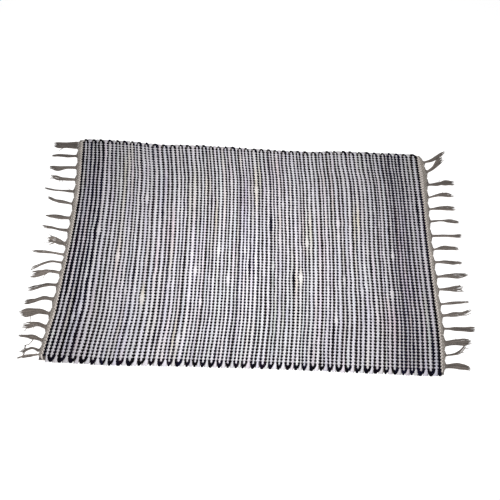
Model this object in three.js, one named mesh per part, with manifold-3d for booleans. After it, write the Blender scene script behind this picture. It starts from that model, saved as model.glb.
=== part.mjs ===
// A flat-woven cotton rug: a thick ribbed field of dark and light weft, and at each end
// a thin plain heading whose warp ends stand out as a fringe of loose tassels.
import * as THREE from "three";
import Module from "manifold-3d";

const wasm = await Module();
wasm.setup();

// Millimetres. X runs along the rug, Y across it and Z up. The origin is on the floor,
// under the middle of the cloth.
const DARK_PICKS = 88; // dark weft ribs, with a light one between each two
const PICKS = 2 * DARK_PICKS - 1;
const CREST = { dark: 8.4, light: 9 }; // height of a rib above the floor
const PICK_WIDTH = { dark: 4.3, light: 5.7 }; // mean widths: each rib's own differs
const GROOVE = 1.9; // depth of the groove between two ribs
const RIM = 3; // height of the long edges, where the weft turns back
const LOOP = 1.6; // how far a turn of the dark weft bulges past the light one
const GAP = 0.3; // between the field and a heading
const HEADING = { edge: 3.2, middle: 4.8, inner: 6.2 }; // heights of a heading's top
const HEADING_ROWS = 50;
const STRAND = { width: 1.5, height: 1.8 };
const ROOT_PITCH = 1.9; // between a tassel's strands where they leave the heading
const ROOTED = 3; // how far a strand reaches into the heading
const HALF_WIDTH = 300; // from the middle to a long edge, before its unevenness
const TURN_EVERY = 4; // picks from one turn of the dark weft to the next, on one edge
const TURN = { near: 3, far: 1 }; // the first light rib that a dark turn goes round
const FIELD = { left: -436, right: 435.5 }; // x of the field's ends, along the middle

// Largest unevenness: of a rib's width and a strand's length as shares, of a crest in mm.
const UNEVEN = { dark: 0.2, light: 0.28, strand: 0.07, crest: 0.3 };

// The share of the cloth's half width at which each row of the field's points lies.
const FIELD_ROWS = [-1, -0.96, -0.76, -0.5, -0.16, 0.2, 0.5, 0.76, 0.96, 1];

// The ribs bow: how far one lies from its place at the rug's middle, at stations across
// the rug. Each column is a rib at that percentage of the way along the field.
const BOWED = [0, 10, 18, 27, 43, 58, 73, 81, 89, 100];
const BOW = [
  { y: -300, 0: -19, 10: -14, 18: -13, 27: -12, 43: -12, 58: -10, 73: -11, 81: -7, 89: -5, 100: -3 },
  { y: -240, 0: -13, 10: -7, 18: -7, 27: -6, 43: -6, 58: -5, 73: -8, 81: -2, 89: -1, 100: 1 },
  { y: -180, 0: -7, 10: -1, 18: -1, 27: -1, 43: -1, 58: -1, 73: -3, 81: 2, 89: 3, 100: 2 },
  { y: -120, 0: -4, 10: 0, 18: 0, 27: 0, 43: 0, 58: 0, 73: -1, 81: 2, 89: 2, 100: 1 },
  { y: 0, 0: 0, 10: 0, 18: 0, 27: 0, 43: 0, 58: 0, 73: 0, 81: 0, 89: 0, 100: 0 },
  { y: 120, 0: -1, 10: -2, 18: -5, 27: -5, 43: -1, 58: -3, 73: -2, 81: 2, 89: 1, 100: -1 },
  { y: 200, 0: -6, 10: -8, 18: -10, 27: -10, 43: -5, 58: -6, 73: -4, 81: 0, 89: -1, 100: -2 },
  { y: 250, 0: -10, 10: -13, 18: -17, 27: -17, 43: -11, 58: -11, 73: -9, 81: -6, 89: -5, 100: -3 },
  { y: 300, 0: -15, 10: -20, 18: -25, 27: -25, 43: -17, 58: -15, 73: -12, 81: -9, 89: -7, 100: -4 },
];

// x of each heading's outer edge, at stations across the rug.
const ENDS = [
  { y: -300, left: -462, right: 443 },
  { y: -280, left: -461, right: 446 },
  { y: -240, left: -456.5, right: 450 },
  { y: -180, left: -452, right: 451.5 },
  { y: -90, left: -446.5, right: 449.5 },
  { y: 0, left: -445, right: 447.5 },
  { y: 90, left: -446, right: 447.5 },
  { y: 180, left: -450, right: 450 },
  { y: 230, left: -454.5, right: 454 },
  { y: 260, left: -458, right: 451 },
  { y: 285, left: -460, right: 446 },
  { y: 300, left: -461, right: 441 },
];

// The long edges draw in and out: y of each, at stations along the rug.
const SIDES = [
  { x: -460, near: -300.5, far: 302 },
  { x: -390, near: -301.5, far: 303 },
  { x: -310, near: -303.5, far: 301 },
  { x: -255, near: -301.5, far: 296.5 },
  { x: -150, near: -299.5, far: 299 },
  { x: 0, near: -298, far: 296.5 },
  { x: 140, near: -297, far: 294 },
  { x: 220, near: -298, far: 300 },
  { x: 330, near: -298.5, far: 300.5 },
  { x: 450, near: -298, far: 300 },
];

// How far apart the ribs are beaten, as a share of the mean, at stations along the rug.
const BEAT = [
  { along: 0, pitch: 1.07 },
  { along: 0.06, pitch: 1.07 },
  { along: 0.09, pitch: 1.02 },
  { along: 0.2, pitch: 1.06 },
  { along: 0.35, pitch: 1.02 },
  { along: 0.5, pitch: 0.96 },
  { along: 0.62, pitch: 0.93 },
  { along: 0.75, pitch: 0.96 },
  { along: 0.88, pitch: 0.97 },
  { along: 0.95, pitch: 1 },
  { along: 0.985, pitch: 1.08 },
  { along: 1, pitch: 1.1 },
];

// A strand from root to tip: its height off the floor, and its size as a share.
const STRAND_STATIONS = [
  { share: 0, lift: 1.1, size: 1 },
  { share: 0.14, lift: 0, size: 1 },
  { share: 0.56, lift: 0, size: 1 },
  { share: 1, lift: 0, size: 0.7 },
];
const FAN = 0.7; // below 1, a tassel widens most near its root
const DRIFT = 1.3; // above 1, it bends aside most near its tip

// The tassels of each end, from the far side to the near one. y is where one leaves the
// heading, drift how far its tip lies from there across the rug and spread its tip's width.
// Each is a few strands, side by side.
const LEFT_TASSELS = [
  { y: 281, length: 67, drift: 3, spread: 14, strands: 5 },
  { y: 247, length: 60, drift: 1, spread: 6, strands: 3 },
  { y: 211, length: 70, drift: -2, spread: 11, strands: 4 },
  { y: 175, length: 67, drift: 7, spread: 12, strands: 4 },
  { y: 139, length: 74, drift: 6, spread: 4, strands: 2 },
  { y: 107, length: 62, drift: 13, spread: 6, strands: 3 },
  { y: 63, length: 61, drift: 4, spread: 9, strands: 4 },
  { y: 29, length: 61, drift: 8, spread: 9, strands: 4 },
  { y: -3, length: 52, drift: 13, spread: 16, strands: 5 },
  { y: -33, length: 80, drift: 4, spread: 4, strands: 2 },
  { y: -58, length: 72, drift: -19, spread: 5, strands: 2 },
  { y: -84, length: 70, drift: -8, spread: 13, strands: 5 },
  { y: -116, length: 66, drift: -11, spread: 11, strands: 4 },
  { y: -150, length: 64, drift: -9, spread: 11, strands: 4 },
  { y: -185, length: 70, drift: 4, spread: 15, strands: 5 },
  { y: -215, length: 55, drift: -7, spread: 13, strands: 5 },
  { y: -248, length: 56, drift: 5, spread: 11, strands: 4 },
  { y: -275, length: 38, drift: -3, spread: 5, strands: 2 },
  { y: -289, length: 48, drift: -4, spread: 8, strands: 3 },
];
const RIGHT_TASSELS = [
  { y: 281, length: 59, drift: 33, spread: 13, strands: 5 },
  { y: 251, length: 46, drift: 33, spread: 8, strands: 3 },
  { y: 210, length: 66, drift: 8, spread: 12, strands: 4 },
  { y: 171, length: 64, drift: 8, spread: 9, strands: 4 },
  { y: 135, length: 64, drift: 5, spread: 11, strands: 4 },
  { y: 100, length: 69, drift: 0, spread: 7, strands: 3 },
  { y: 59, length: 71, drift: 3, spread: 10, strands: 4 },
  { y: 20, length: 61, drift: 6, spread: 11, strands: 4 },
  { y: -16, length: 63, drift: 3, spread: 8, strands: 3 },
  { y: -53, length: 72, drift: 5, spread: 11, strands: 4 },
  { y: -88, length: 58, drift: 1, spread: 13, strands: 5 },
  { y: -127, length: 70, drift: 8, spread: 6, strands: 3 },
  { y: -157, length: 67, drift: 8, spread: 11, strands: 4 },
  { y: -185, length: 71, drift: 1, spread: 9, strands: 4 },
  { y: -227, length: 59, drift: 11, spread: 15, strands: 5 },
  { y: -253, length: 52, drift: 15, spread: 5, strands: 2 },
  { y: -278, length: 56, drift: 3, spread: 12, strands: 4 },
];

// The value of a table's column where its key column is `place`: a smooth curve
// through the rows, held level past the first and the last.
function along(table, key, column, place) {
  const last = table.length - 1;
  const clamped = Math.min(Math.max(place, table[0][key]), table[last][key]);
  let row = 0;
  while (row < last - 1 && table[row + 1][key] < clamped) row++;
  const slope = (k) => {
    const [before, after] = [table[Math.max(k - 1, 0)], table[Math.min(k + 1, last)]];
    return (after[column] - before[column]) / (after[key] - before[key]);
  };
  const [a, b] = [table[row], table[row + 1]];
  const step = b[key] - a[key];
  const t = (clamped - a[key]) / step;
  const rise = b[column] - a[column];
  const bend = t * t * (3 - 2 * t);
  const lean = step * t * (1 - t) * ((1 - t) * slope(row) - t * slope(row + 1));
  return a[column] + rise * bend + lean;
}

// A fixed uneven number from -1 to 1 for each whole n, so that no two yarns are alike.
function unevenness(n) {
  const wave = Math.sin(n * 12.9898) * 43758.5453;
  return 2 * (wave - Math.floor(wave)) - 1;
}

const lerp = THREE.MathUtils.lerp;

// Where each rib starts, as a share of the field's length, with 1 after the last.
const pickStarts = (() => {
  const starts = [0];
  for (let pick = 0; pick < PICKS; pick++) {
    const yarn = pick % 2 ? "light" : "dark";
    const beat = along(BEAT, "along", "pitch", pick / PICKS);
    const width = PICK_WIDTH[yarn] * beat * (1 + UNEVEN[yarn] * unevenness(pick));
    starts.push(starts[pick] + width);
  }
  return starts.map((start) => start / starts[PICKS]);
})();

// x of a rib that lies at a share of the way along the field, at a station across it.
function ribX(share, y) {
  const row = BOWED.map((percent) => ({ percent, shift: along(BOW, "y", percent, y) }));
  return lerp(FIELD.left, FIELD.right, share) + along(row, "percent", "shift", 100 * share);
}

// A point of the cloth at x, at a share of the way across it, from -1 at the near edge
// to 1 at the far one.
function onCloth(x, across, bulge = 0) {
  const near = along(SIDES, "x", "near", x) - bulge;
  const far = along(SIDES, "x", "far", x) + bulge;
  return new THREE.Vector2(x, lerp(near, far, (across + 1) / 2));
}

// The outer edge of a heading: a smooth curve.
const edge = (column) => (y) => along(ENDS, "y", column, y);

// The line between the field and a heading: straight from row to row of the field, so
// that both follow it. The heading's edge lies `shift` from it.
function seam(share, shift) {
  const stations = FIELD_ROWS.map((across) => across * HALF_WIDTH);
  const corners = stations.map((station) => ribX(share, station) + shift);
  return (y) => {
    const above = stations.findIndex((station, row) => row > 0 && station >= y);
    const [low, high] = [stations[above - 1], stations[above]];
    return lerp(corners[above - 1], corners[above], (y - low) / (high - low));
  };
}

function geometryOf(points, faces) {
  const geometry = new THREE.BufferGeometry().setFromPoints(points);
  geometry.setIndex(faces.flat());
  geometry.computeVertexNormals();
  return geometry;
}

// A closed solid that lies on the floor: its top is a grid of points, its wall drops
// straight from the grid's rim and its underside is flat.
function slab(columns, rows, top) {
  const points = [];
  for (let c = 0; c <= columns; c++)
    for (let r = 0; r <= rows; r++) points.push(top(c, r));
  const at = (c, r) => c * (rows + 1) + r;
  const faces = [];
  for (let c = 0; c < columns; c++)
    for (let r = 0; r < rows; r++) {
      faces.push([at(c, r), at(c + 1, r), at(c + 1, r + 1)]);
      faces.push([at(c, r), at(c + 1, r + 1), at(c, r + 1)]);
    }
  const rim = [];
  for (let c = 0; c < columns; c++) rim.push(at(c, 0));
  for (let r = 0; r < rows; r++) rim.push(at(columns, r));
  for (let c = columns; c > 0; c--) rim.push(at(c, rows));
  for (let r = rows; r > 0; r--) rim.push(at(0, r));
  const foot = points.length;
  const outline = rim.map((i) => new THREE.Vector2(points[i].x, points[i].y));
  outline.forEach((p) => points.push(new THREE.Vector3(p.x, p.y, 0)));
  rim.forEach((corner, k) => {
    const next = (k + 1) % rim.length;
    faces.push([foot + k, foot + next, rim[next]], [foot + k, rim[next], corner]);
  });
  for (const [a, b, c] of THREE.ShapeUtils.triangulateShape(outline, []))
    faces.push([foot + a, foot + c, foot + b]);
  return geometryOf(points, faces);
}

// A closed solid through sections of equal corner counts.
function loft(sections) {
  const sides = sections[0].length;
  const last = (sections.length - 1) * sides;
  const faces = [];
  for (let start = 0; start < last; start += sides)
    for (let k = 0; k < sides; k++) {
      const [a, b] = [start + k, start + ((k + 1) % sides)];
      faces.push([a, b, b + sides], [a, b + sides, a + sides]);
    }
  for (let k = 1; k + 1 < sides; k++)
    faces.push([0, k + 1, k], [last, last + k, last + k + 1]);
  return geometryOf(sections.flat(), faces);
}

// The ribbed field. Each rib has a groove, a crest and the next groove, and at the long
// edges two dark ribs share a turn of the weft, which bulges over the light rib between.
function wovenField() {
  return slab(2 * PICKS, FIELD_ROWS.length - 1, (column, row) => {
    const pick = Math.min(Math.floor(column / 2), PICKS - 1);
    const onCrest = column % 2 === 1;
    const start = pickStarts[pick];
    const share = column === 2 * PICKS ? 1 : onCrest ? (start + pickStarts[pick + 1]) / 2 : start;
    const across = FIELD_ROWS[row];
    const x = ribX(share, across * HALF_WIDTH) + GAP * (0.5 - share);
    const fromTurn = (column - 1) / 2 - (across < 0 ? TURN.near : TURN.far);
    const bulge = (LOOP / 2) * Math.cos((2 * Math.PI * fromTurn) / TURN_EVERY);
    const place = onCloth(x, across, bulge);
    const crest = pick % 2 ? CREST.light : CREST.dark;
    const uneven = UNEVEN.crest * unevenness(pick + FIELD_ROWS.length * row);
    const height = onCrest ? crest + uneven : CREST.dark - GROOVE;
    const onRim = Math.abs(across) === 1;
    return new THREE.Vector3(place.x, place.y, onRim ? RIM : height);
  });
}

// One warp end of a tassel: a three-sided strand, out of the heading and down to the
// floor, along which it then lies. side is -1 at the left end and 1 at the right.
function strand(root, side, tassel, k) {
  const place = k - (tassel.strands - 1) / 2;
  const tipPitch = (tassel.spread - STRAND.width) / (tassel.strands - 1);
  const uneven = Math.abs(unevenness(tassel.y * tassel.strands + k));
  const reach = tassel.length * (1 - UNEVEN.strand * uneven);
  const sections = STRAND_STATIONS.map(({ share, lift, size }) => {
    const pitch = lerp(ROOT_PITCH, tipPitch, share ** FAN);
    const x = root.x + side * (share > 0 ? share * reach : -ROOTED);
    const y = root.y + tassel.drift * share ** DRIFT + place * pitch;
    const half = (STRAND.width / 2) * size;
    return [
      new THREE.Vector3(x, y - side * half, lift),
      new THREE.Vector3(x, y + side * half, lift),
      new THREE.Vector3(x, y, lift + STRAND.height * size),
    ];
  });
  return loft(sections);
}

// A closed geometry as a solid that can be joined, and back again.
function solidOf(geometry) {
  const positions = new Float32Array(geometry.attributes.position.array);
  const corners = new Uint32Array(geometry.index.array);
  const mesh = new wasm.Mesh({ numProp: 3, vertProperties: positions, triVerts: corners });
  return new wasm.Manifold(mesh);
}

function geometryFrom(solid) {
  const { vertProperties, triVerts } = solid.getMesh();
  const geometry = new THREE.BufferGeometry();
  geometry.setAttribute("position", new THREE.BufferAttribute(vertProperties, 3));
  geometry.setIndex(new THREE.BufferAttribute(triVerts, 1));
  geometry.computeVertexNormals();
  return geometry;
}

// A heading with its fringe: a thin band that slopes down to its outer edge, with the
// roots of all its strands joined into it.
function fringedHeading(side, tassels) {
  const [outer, inner] =
    side < 0
      ? [edge("left"), seam(0, -GAP / 2)]
      : [edge("right"), seam(1, GAP / 2)];
  const profile = [HEADING.edge, HEADING.middle, HEADING.inner];
  const [from, to] = side < 0 ? [outer, inner] : [inner, outer];
  const heights = side < 0 ? profile : [...profile].reverse();
  const band = slab(heights.length - 1, HEADING_ROWS, (column, row) => {
    const across = (2 * row) / HEADING_ROWS - 1;
    const station = across * HALF_WIDTH;
    const share = column / (heights.length - 1);
    const place = onCloth(lerp(from(station), to(station), share), across);
    return new THREE.Vector3(place.x, place.y, heights[column]);
  });
  let solid = solidOf(band);
  for (const tassel of tassels)
    for (let k = 0; k < tassel.strands; k++) {
      const root = new THREE.Vector2(outer(tassel.y), tassel.y);
      solid = solid.add(solidOf(strand(root, side, tassel, k)));
    }
  return geometryFrom(solid);
}

const weft = new THREE.MeshStandardMaterial({ color: 0xaaa8ae, roughness: 0.95 });
const warp = new THREE.MeshStandardMaterial({ color: 0x9b9086, roughness: 0.95 });

function named(name, geometry, material) {
  const mesh = new THREE.Mesh(geometry, material);
  mesh.name = name;
  return mesh;
}

const rug = new THREE.Group();
rug.add(named("woven_field", wovenField(), weft));
rug.add(named("left_heading_fringe", fringedHeading(-1, LEFT_TASSELS), warp));
rug.add(named("right_heading_fringe", fringedHeading(1, RIGHT_TASSELS), warp));

export default rug;
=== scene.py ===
"""A flat-woven cotton rug, built yarn by yarn: dark and light weft over and under a thin warp,
a heading at each end, and the warp's ends gathered into a fringe of loose tassels.

X runs along the rug, Y across it and Z up. Sizes are in millimetres until a mesh is made.
"""

import math

import bpy
import numpy as np
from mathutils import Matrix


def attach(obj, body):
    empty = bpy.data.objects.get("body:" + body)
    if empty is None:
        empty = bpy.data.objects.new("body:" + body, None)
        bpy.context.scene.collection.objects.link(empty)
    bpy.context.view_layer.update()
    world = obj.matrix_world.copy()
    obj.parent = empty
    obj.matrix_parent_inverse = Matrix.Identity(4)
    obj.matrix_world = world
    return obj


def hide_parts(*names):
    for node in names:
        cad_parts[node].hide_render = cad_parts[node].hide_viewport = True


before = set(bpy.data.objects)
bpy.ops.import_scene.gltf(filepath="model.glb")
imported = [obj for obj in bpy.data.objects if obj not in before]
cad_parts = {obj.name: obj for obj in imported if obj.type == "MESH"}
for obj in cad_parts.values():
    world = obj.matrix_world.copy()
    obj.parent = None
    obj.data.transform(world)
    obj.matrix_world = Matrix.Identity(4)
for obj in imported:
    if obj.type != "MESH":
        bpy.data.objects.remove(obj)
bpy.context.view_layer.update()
rng = np.random.default_rng(24)

MM = 0.001


def table(columns, *rows):
    """Rows of numbers, as named columns."""
    return dict(zip(columns.split(), np.array(rows, float).T))


def settle(node, values):
    """Sets a node's sockets."""
    for name, value in values.items():
        node.inputs[name].default_value = value


def stand(name, data):
    """A new object in the scene."""
    thing = bpy.data.objects.new(name, data)
    bpy.context.collection.objects.link(thing)
    return thing


# ---------------------------------------------------------------- the cloth's sizes

DARK_PICKS = 88
PICKS = 2 * DARK_PICKS - 1
WARPS = 154
HALF_WIDTH = 300
WOVEN = (-0.9597, 0.979)  # where the warp's ends lie, as shares of the half width
MIDDLE = 4.4  # height of the cloth's middle above the floor
PLATEAU = 0.23  # half the length of a bead's top, as a share of the warp's pitch

# A weft yarn: its share of the cloth's length and how unevenly it lies, how wide its beads
# are over the warp and how narrow its dips under it, how far it rises and dips, and half its
# thickness.
DARK = {
    "width": 4.3, "uneven": 0.2, "bead": 1.38, "dip": 0.8, "rise": 1.9, "fall": 2.0,
    "thick": 2.3,
}
LIGHT = {
    "width": 5.7, "uneven": 0.28, "bead": 1.56, "dip": 1.0, "rise": 1.65, "fall": 0.9,
    "thick": 2.6,
}
WEFT_SIDES = 6
THIN_SIDES = 3  # of the warp, the fibres and the loose strands
SWELL_NOISE = ((0.05, 9), (0.05, 28))  # strength, and knots along a yarn
SWELL_TALL = 0.3  # how much of its swelling a yarn gains in height
# Where a yarn swells, its dips fill: slope * swell - start, held from 0 to 1, times most.
FILLED = {"slope": 2.2, "start": 0.2, "most": 0.75}
BEAD_NOISE = {"height": 0.04, "width": 0.05, "thick": 0.04}
PUSH_REACH = 7  # how many picks give way, either side, where one swells

WARP = {"width": 0.5, "thick": 0.45, "lift": 0.35}

# At each long edge the dark picks turn back in pairs, round the light pick between them,
# and each light pick goes under the next dark turn and into the bulge past it. For each
# ring past the last warp end: how far out it lies and how far towards the turn's tip, as
# shares, half its width, its height above the floor and half its thickness.
TURN_COLUMNS = "out lean wide up tall"
TURNS = {
    ("near", "left"): table(
        TURN_COLUMNS,
        (0.13, 0, 1.8, 3.4, 2),
        (0.25, 0.2, 3.2, 5, 2.4),
        (0.42, 0.5, 3.8, 5, 2.8),
        (0.62, 0.85, 3.9, 4.4, 2.9),
        (0.88, 1, 3.5, 3.7, 2.6),
        (1, 1, 2.7, 3.1, 1.6),
    ),
    ("near", "right"): table(
        TURN_COLUMNS,
        (0.1, 0, 2, 4.8, 2.2),
        (0.22, 0.12, 3, 5.4, 2.5),
        (0.37, 0.3, 3.5, 5.3, 2.8),
        (0.54, 0.5, 3.6, 4.8, 2.8),
        (0.72, 0.75, 3.4, 4.2, 2.6),
        (0.88, 0.95, 2.7, 3.6, 2),
    ),
    ("near", "lone"): table(
        TURN_COLUMNS,
        (0.15, 0, 2.8, 5.4, 2.4),
        (0.3, 0, 3.5, 5.6, 2.8),
        (0.5, 0, 4, 5.3, 2.9),
        (0.7, 0, 4.2, 4.7, 2.8),
        (0.88, 0, 3.6, 3.9, 2.5),
        (1, 0, 2, 3.2, 1.5),
    ),
    ("near", "inside"): table(
        TURN_COLUMNS,
        (0.1, 0, 2.7, 5.1, 2.3),
        (0.22, 0, 2.2, 4.2, 2),
        (0.36, 0.1, 1.9, 2.8, 1.7),
        (0.55, 0.35, 2, 2.4, 1.7),
        (0.72, 0.7, 2.2, 2.3, 1.7),
        (0.85, 1, 2.2, 2.3, 1.7),
    ),
    ("near", "outside"): table(
        TURN_COLUMNS,
        (0.12, 0, 3, 5, 2.4),
        (0.3, 0.15, 3.3, 4.4, 2.3),
        (0.5, 0.4, 4.2, 4.1, 2.4),
        (0.7, 0.7, 5.1, 3.8, 2.4),
        (0.88, 1, 5.5, 3.4, 2.1),
        (0.99, 1, 5, 3, 1.4),
    ),
    ("far", "left"): table(
        TURN_COLUMNS,
        (0.15, 0, 2.1, 3.2, 1.9),
        (0.3, 0.15, 2.1, 2.9, 1.8),
        (0.45, 0.4, 2.3, 3.2, 1.9),
        (0.6, 0.7, 2.8, 3.7, 2),
        (0.72, 0.9, 3, 4, 2.1),
        (0.82, 1, 2.8, 4, 2),
    ),
    ("far", "right"): table(
        TURN_COLUMNS,
        (0.08, 0.08, 2.6, 6, 2.4),
        (0.3, 0.3, 3, 6, 2.5),
        (0.5, 0.58, 3.6, 5.6, 2.6),
        (0.68, 0.85, 4.4, 5, 2.7),
        (0.86, 1.02, 4.7, 4.2, 2.6),
        (1, 1.1, 3.2, 3.6, 1.8),
    ),
    ("far", "lone"): table(
        TURN_COLUMNS,
        (0.15, 0, 2.6, 5, 2.3),
        (0.3, 0, 2.8, 5, 2.4),
        (0.5, 0, 3, 4.6, 2.4),
        (0.7, 0, 2.8, 4.2, 2.2),
        (0.88, 0, 2.4, 3.8, 1.8),
        (1, 0, 1.6, 3.4, 1.2),
    ),
    ("far", "inside"): table(
        TURN_COLUMNS,
        (0.1, 0, 2.3, 4.6, 2.2),
        (0.25, 0, 2.8, 5.7, 2.4),
        (0.4, 0.05, 2.5, 5, 2.2),
        (0.56, 0.2, 2, 3, 1.8),
        (0.75, 0.6, 2.2, 2.4, 1.7),
        (0.86, 1, 2.4, 2.3, 1.7),
    ),
    ("far", "outside"): table(
        TURN_COLUMNS,
        (0.1, 0, 2.5, 4.6, 2.2),
        (0.26, 0, 3.5, 5.4, 2.5),
        (0.45, 0.3, 3.9, 4.8, 2.5),
        (0.65, 0.6, 4.8, 4.2, 2.4),
        (0.85, 1, 5.3, 3.6, 2.2),
        (0.98, 1, 4.6, 3.1, 1.4),
    ),
}
TURN_RINGS = 6
TURN_LEAN = {"near": 0.3, "far": 0.42}  # where a turn's tip lies between its two picks
TURN_OUT = 0.8  # how far a turn's tip stands past the mean edge
TURN_SPAN = {"dark": 10, "light": 20}  # between the picks or the tips that the widths suit
TURN_STRETCH = {"dark": (0.8, 1.4), "light": (0.6, 1.6)}  # least and most, for another span
TURN_NOISE = {"lean": 0.09, "reach": 0.45, "size": 0.1}
TURN_SIZE = (-0.2, 0.25)  # least and most that its noise changes a turn's size
CORNER_SHORT = 13  # how far the first pick's near end stops short of the edge

# The picks bow: how far one lies from its place at the rug's middle, at stations across the
# rug, for picks at each share of the way along it.
FIELD = (-434, 436)  # x where the field starts and ends, along the middle
BOWED = (0, 0.1, 0.18, 0.27, 0.43, 0.58, 0.73, 0.81, 0.89, 1)
BOW = table(
    "y " + " ".join(f"at_{share}" for share in BOWED),
    (-300, -19, -14, -13, -12, -12, -10, -11, -7, -5, -1),
    (-240, -13, -7, -7, -6, -6, -5, -8, -2, -1, 3),
    (-180, -7, -1, -1, -1, -1, -1, -3, 2, 3, 4),
    (-120, -4, 0, 0, 0, 0, 0, -1, 2, 2, 2.5),
    (0, 0, 0, 0, 0, 0, 0, 0, 0, 0, 0),
    (120, -1, -2, -5, -5, -1, -3, -2, 2, 1, -1),
    (200, -6, -8, -10, -10, -5, -6, -4, 0, -1, -2),
    (250, -10, -13, -17, -17, -11, -11, -9, -6, -5, -3),
    (300, -15, -20, -25, -25, -17, -15, -12, -9, -7, -4),
)

# The headings' outer edges, at stations across the rug.
ENDS = table(
    "y left right",
    (-300, -462, 443),
    (-280, -461, 446),
    (-240, -456.5, 450),
    (-180, -452, 451.5),
    (-90, -446.5, 449.5),
    (0, -445, 447.5),
    (90, -446, 447.5),
    (180, -450, 450),
    (230, -454.5, 454),
    (260, -458, 451),
    (285, -460, 446),
    (300, -461, 441),
)

# The long edges draw in and out: y of each, at stations along the rug.
SIDES = table(
    "x near far",
    (-460, -300.5, 302),
    (-390, -301.5, 303),
    (-310, -303.5, 301),
    (-255, -301.5, 296.5),
    (-150, -299.5, 299),
    (0, -298, 296.5),
    (140, -297, 294),
    (220, -298, 300),
    (330, -298.5, 300.5),
    (450, -298, 300),
)

# How far apart the picks are beaten and how thick the dark ones are, as shares of the mean,
# and how full their dips are, at stations along the rug. The light picks fill what is left.
BEAT = table(
    "along pitch dark full",
    (0, 0.96, 1.6, 0.34),
    (0.014, 1.07, 1.26, 0.28),
    (0.04, 1.1, 1.22, 0.26),
    (0.065, 1.08, 1.15, 0.24),
    (0.09, 1.01, 1, 0.06),
    (0.2, 1.06, 1, 0),
    (0.23, 1.05, 1.1, 0.04),
    (0.27, 1.04, 1.02, 0),
    (0.4, 1, 1, 0),
    (0.435, 0.98, 1.14, 0),
    (0.5, 0.96, 1.04, 0),
    (0.57, 0.95, 1.16, 0),
    (0.65, 0.94, 1.12, 0),
    (0.71, 0.95, 1.08, 0.04),
    (0.75, 0.96, 1, 0),
    (0.85, 0.96, 1.08, 0),
    (0.89, 0.92, 1.2, 0.04),
    (0.92, 0.92, 1.4, 0.05),
    (0.955, 0.98, 1.3, 0.06),
    (0.985, 1.1, 1.12, 0.12),
    (1, 1.27, 1.3, 0.4),
)

# Stretches where one dark pick swells and hides its necks: place, half its length, strength.
THICK_STRETCHES = table(
    "x y half more",
    (-424, -85, 50, 0.32),
    (-424, 5, 45, 0.26),
    (-425, 165, 24, 0.2),
    (-273, -74, 24, 0.3),
    (-158, -45, 24, 0.3),
    (-128, 268, 26, 0.25),
    (-105, 125, 24, 0.32),
    (-76, -272, 20, 0.25),
    (4, -55, 26, 0.32),
    (52, 76, 20, 0.3),
    (104, -78, 24, 0.35),
    (148, -260, 20, 0.25),
    (197, -215, 34, 0.3),
    (292, -30, 28, 0.28),
    (420, 140, 40, 0.25),
)

# Lumps where a light pick bursts out and covers the dark dots beside it.
LUMPS = table(
    "x y half more",
    (-400, -195, 10, 0.44),
    (-386, -170, 11, 0.53),
    (-367, 33, 10, 0.57),
    (-313, -35, 12, 0.53),
    (-290, -122, 9, 0.48),
    (-263, 133, 11, 0.57),
    (-246, -138, 12, 0.62),
    (-159, -235, 10, 0.35),
    (-126, -66, 13, 0.57),
    (-109, -147, 9, 0.53),
    (-76, -10, 12, 0.44),
    (-46, -84, 10, 0.44),
    (13, 168, 10, 0.48),
    (57, -45, 9, 0.48),
    (83, 130, 10, 0.44),
    (120, -70, 11, 0.62),
    (141, 24, 10, 0.48),
    (205, -181, 9, 0.44),
    (216, 80, 11, 0.62),
    (227, -74, 9, 0.53),
    (269, -102, 11, 0.44),
    (320, 80, 8, 0.35),
    (339, -107, 12, 0.57),
    (348, -6, 10, 0.57),
)

# A lump is a long slim slub: its length and its swelling, as shares of what its row says.
SLUB_LENGTH = 1.3
SLUB_SWELL = 0.82
LUMPS["half"] = SLUB_LENGTH * LUMPS["half"]
LUMPS["more"] = SLUB_SWELL * LUMPS["more"]

# ---------------------------------------------------------------- colours, linear

WHITE = (0.82, 0.8, 0.845)
COTTON = (0.84, 0.81, 0.81)
SHADES = {
    "lavender": (0.56, 0.49, 0.69),
    "pink": (0.80, 0.62, 0.70),
    "cream": (0.80, 0.73, 0.56),
    "mint": (0.68, 0.78, 0.75),
    "blue": (0.60, 0.63, 0.76),
}
BLACK = (0.004, 0.0035, 0.006)
NAVY = (0.008, 0.008, 0.026)
PLUM = (0.013, 0.005, 0.013)
BEIGE = (0.83, 0.765, 0.715)
RIDGE = (0.48, 0.435, 0.39)
TAUPE = (0.29, 0.25, 0.22)

PATCH_SHARE = 0.8  # of each patch's strength below
TINT_NOISE = ((0.1, 5), (0.07, 14))  # strength, and knots along a yarn
LIGHT_NOISE = ((0.05, 3), (0.03, 60))
CLEAN = {"slope": 1.2, "start": 0.15, "most": 0.6}  # how swelling turns a light pick to cotton
BRIGHTEST = 0.9
# Shares of navy and plum in the dark picks, and one navy stretch: its x and half its length.
NAVY_MIX = {"mean": 0.25, "noise": 0.4, "knots": 4, "more": 0.8, "x": 372, "half": 30}
PLUM_MIX = {"noise": 0.35, "knots": 6, "most": 0.7}
DARK_NOISE = {"strength": 0.12, "knots": 40}

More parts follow.
